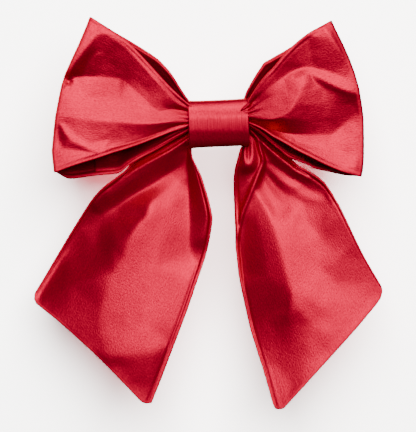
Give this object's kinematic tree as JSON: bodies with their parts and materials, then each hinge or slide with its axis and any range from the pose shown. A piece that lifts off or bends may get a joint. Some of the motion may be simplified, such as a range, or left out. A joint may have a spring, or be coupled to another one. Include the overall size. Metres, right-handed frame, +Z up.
{
  "type": "hair bow",
  "caption": "Satin hair bow with pinched loops and long slanted tails round a flat knot, sewn to a spring barrette that clamps hair.",
  "frame": {"origin": "middle of the head-side face of the barrette's locking arm", "axes": "+Z up as the bow is worn, +X to the right seen from the front, +Y towards the wearer's head, so the bow's front faces -Y"},
  "size_m": [0.2227, 0.0437, 0.2512],
  "materials": {
    "satin": "glossy red satin, woven",
    "satin_inside": "red satin in the bow's shaded inside",
    "thread": "red sewing thread",
    "nickel": "nickel-plated pressed steel",
    "spring_steel": "bare spring steel"
  },
  "bodies": {
    "bow": {"left_loop": "satin", "right_loop": "satin", "left_tail_upper": "satin", "right_tail_upper": "satin", "knot_wrap": "satin", "left_loop_end_flap": "satin_inside", "right_loop_end_flap": "satin_inside", "loop_waist": "satin_inside", "tail_waist": "satin_inside", "loop_gather_thread": "thread", "tail_gather_thread": "thread", "wrap_stitch_1": "thread", "wrap_stitch_2": "thread", "wrap_stitch_3": "thread", "wrap_stitch_4": "thread", "wrap_stitch_5": "thread", "barrette_bar": "nickel", "barrette_hinge_pin": "nickel", "catch_bracket": "nickel", "catch_rivet": "nickel"},
    "left_tail": {"left_tail_lower": "satin"},
    "right_tail": {"right_tail_lower": "satin"},
    "locking_arm": {"barrette_locking_arm": "nickel"},
    "tension_bar": {"barrette_tension_bar": "spring_steel"},
    "prong_upper": {"catch_prong_upper": "spring_steel"},
    "prong_lower": {"catch_prong_lower": "spring_steel"}
  },
  "joints": [
    {"name": "locking_arm_hinge", "type": "hinge", "parent": "bow", "child": "locking_arm", "pos_m": [0.0352, -0.0046, 0], "axis": [0, 0, -1], "range_deg": [0, 80]},
    {"name": "catch_upper_pinch", "type": "hinge", "parent": "bow", "child": "prong_upper", "pos_m": [-0.034, -0.0077, 0.0021], "axis": [-1, 0, 0], "range_deg": [0, 7], "stiffness_Nm_per_rad": 0.1},
    {"name": "catch_lower_pinch", "type": "hinge", "parent": "bow", "child": "prong_lower", "pos_m": [-0.034, -0.0077, -0.0021], "axis": [1, 0, 0], "range_deg": [0, 7], "stiffness_Nm_per_rad": 0.1},
    {"name": "tension_bar_flex", "type": "slide", "parent": "bow", "child": "tension_bar", "axis": [0, -1, 0], "range_m": [0, 0.0012], "stiffness_N_per_m": 400, "deforming": ["barrette_tension_bar"]},
    {"name": "left_tail_sway", "type": "hinge", "parent": "bow", "child": "left_tail", "pos_m": [-0.035, -0.0165, -0.044], "axis": [1, 0, 0], "range_deg": [-40, 30]},
    {"name": "right_tail_sway", "type": "hinge", "parent": "bow", "child": "right_tail", "pos_m": [0.04, -0.0165, -0.044], "axis": [1, 0, 0], "range_deg": [-40, 30]}
  ]
}
